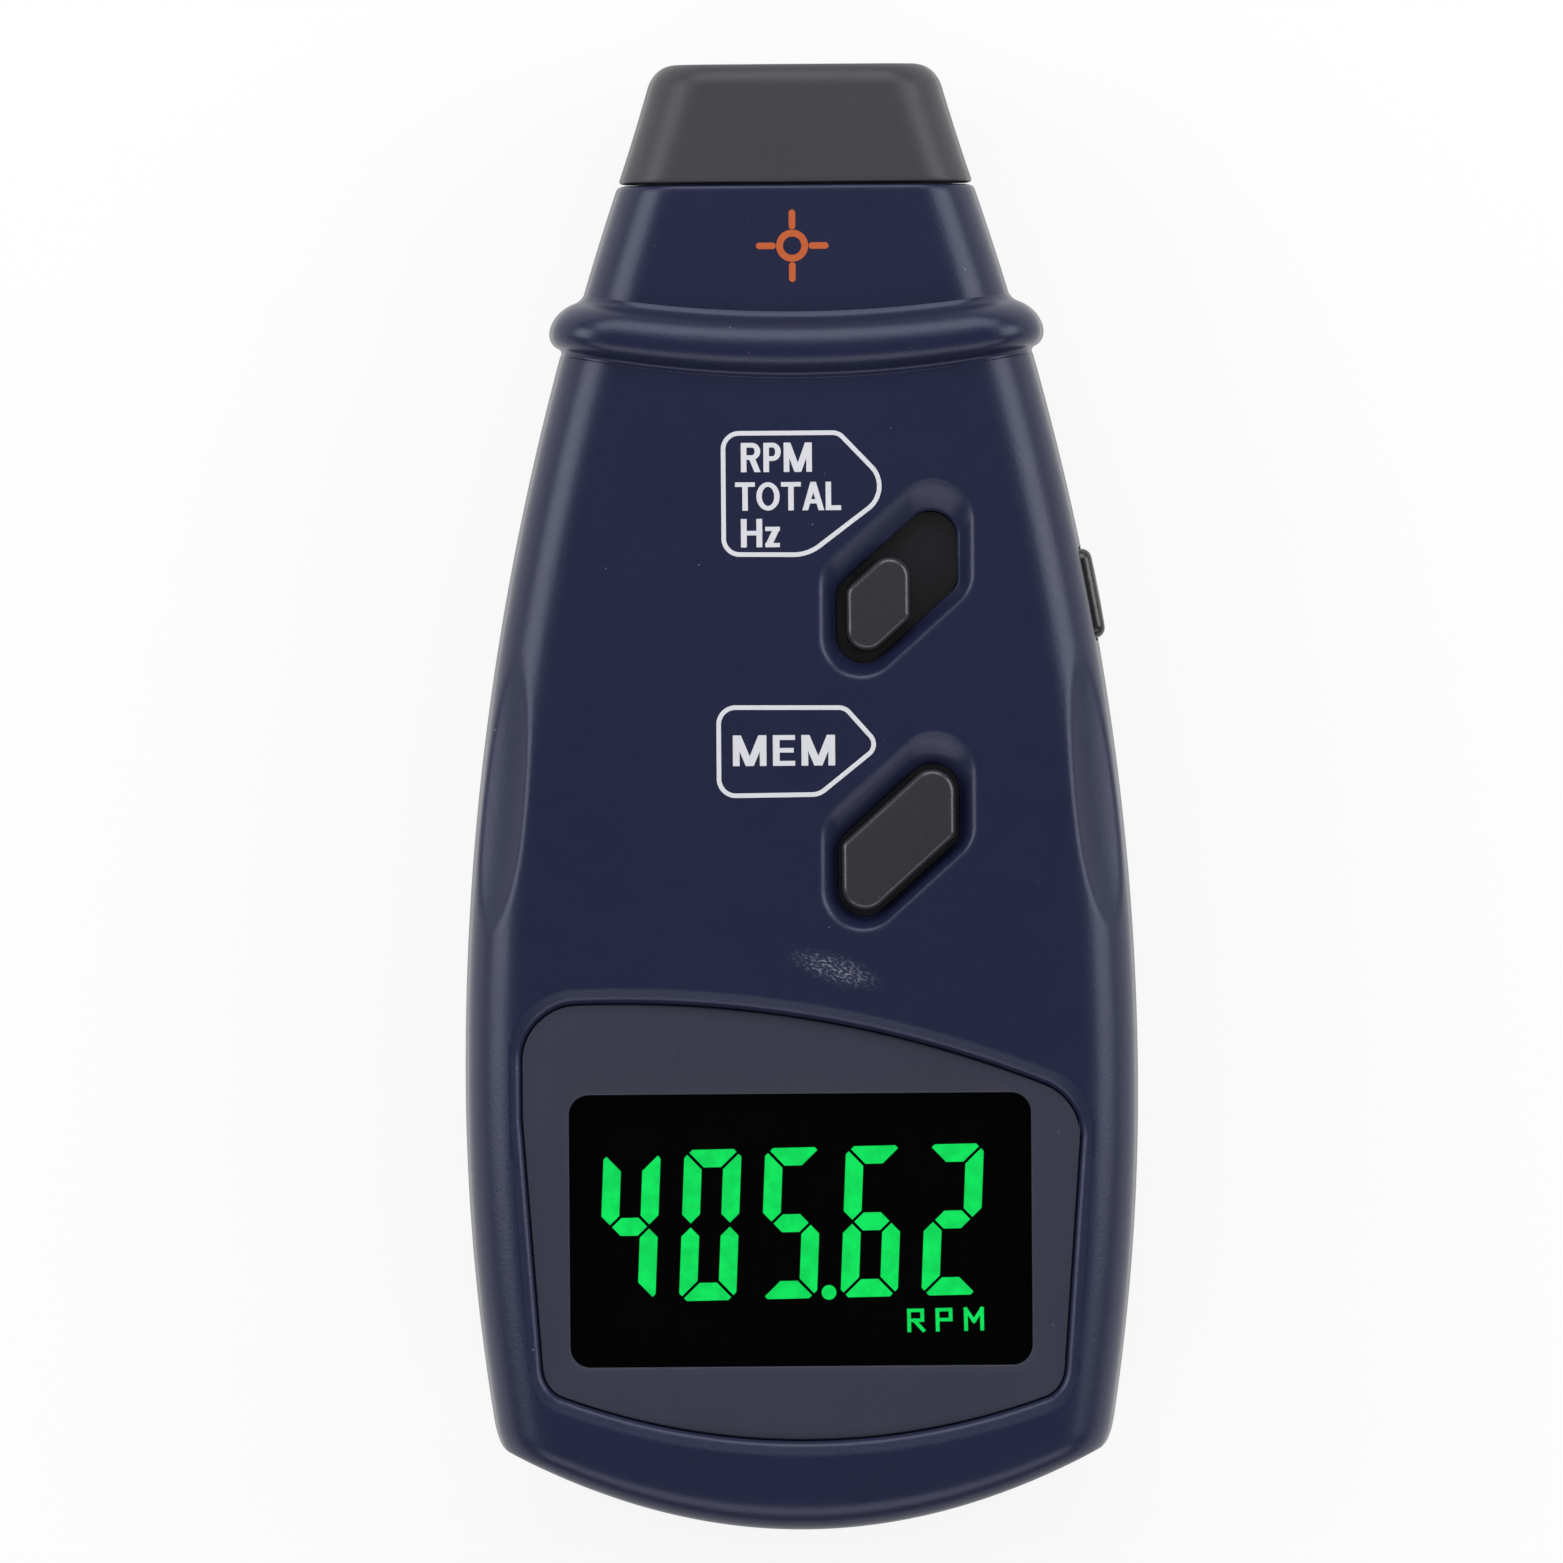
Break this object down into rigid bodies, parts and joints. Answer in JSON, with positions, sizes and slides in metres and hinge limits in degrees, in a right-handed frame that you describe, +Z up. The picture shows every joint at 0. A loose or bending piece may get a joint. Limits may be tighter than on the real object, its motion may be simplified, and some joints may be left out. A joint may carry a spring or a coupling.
{
  "type": "laser tachometer",
  "caption": "Hand-held optical tachometer: tapering blue case with a lit number display, slanted mode and memory controls, a side trigger and a dark nose cap.",
  "frame": {"origin": "bottom centre of the bounding box, on the flat back the meter lies on", "axes": "+Y from the tail towards the nose, +X to the right as the face is read, +Z up out of the face"},
  "size_m": [0.0736, 0.16, 0.0333],
  "materials": {
    "shell_blue": "fine moulded grain",
    "cap_grey": "fine moulded grain",
    "key_grey": "satin",
    "window_slate": "satin",
    "pane_smoke": "polished",
    "lcd_black": "polished",
    "lcd_green": "lit",
    "frame_black": "moulded",
    "light_white": "satin",
    "strip_rubber": "soft",
    "board_green": "lacquered",
    "screw_steel": "plated",
    "chip_black": "moulded",
    "can_metal": "drawn",
    "stem_white": "moulded",
    "barrel_brass": "turned",
    "lens_clear": "polished",
    "lens_red": "polished",
    "diode_dark": "cast",
    "battery_case": "wrapped"
  },
  "bodies": {
    "case": {"front_shell": "shell_blue", "rear_shell": "shell_blue", "nose_cap": "cap_grey", "case_screws": "screw_steel", "display_window": "window_slate", "lcd_pane": "pane_smoke", "lcd_segments": "lcd_green", "lcd_glass": "lcd_black", "lcd_frame": "frame_black", "backlight_panel": "light_white", "contact_strips": "strip_rubber", "main_board": "board_green", "board_screws": "screw_steel", "controller_chip": "chip_black", "clock_crystal": "can_metal", "storage_capacitor": "can_metal", "mode_switch": "can_metal", "memory_switch": "chip_black", "measure_switch": "chip_black", "laser_module": "barrel_brass", "laser_lens": "lens_red", "receiver_tube": "frame_black", "receiver_lens": "lens_clear", "photodiode": "diode_dark", "optics_bracket": "frame_black", "battery": "battery_case", "contact_plate": "frame_black", "contact_clips": "screw_steel"},
    "mode_slider": {"mode_knob": "key_grey", "mode_lever": "stem_white"},
    "memory_key": {"memory_button": "key_grey", "memory_plunger": "stem_white"},
    "measure_key": {"measure_button": "key_grey", "measure_plunger": "stem_white"},
    "bay_door": {"battery_door": "shell_blue"}
  },
  "joints": [
    {"name": "mode_slide", "type": "slide", "parent": "case", "child": "mode_slider", "axis": [0.7431, 0.6691, 0], "range_m": [0, 0.006]},
    {"name": "memory_press", "type": "slide", "parent": "case", "child": "memory_key", "axis": [0, 0, -1], "range_m": [0, 0.0008], "stiffness_N_per_m": 900, "springref_m": -0.0006},
    {"name": "measure_press", "type": "slide", "parent": "case", "child": "measure_key", "axis": [-0.9835, -0.1811, 0], "range_m": [0, 0.0008], "stiffness_N_per_m": 900, "springref_m": -0.0006},
    {"name": "bay_door_slide", "type": "slide", "parent": "case", "child": "bay_door", "axis": [0, -1, 0], "range_m": [0, 0.036]}
  ]
}
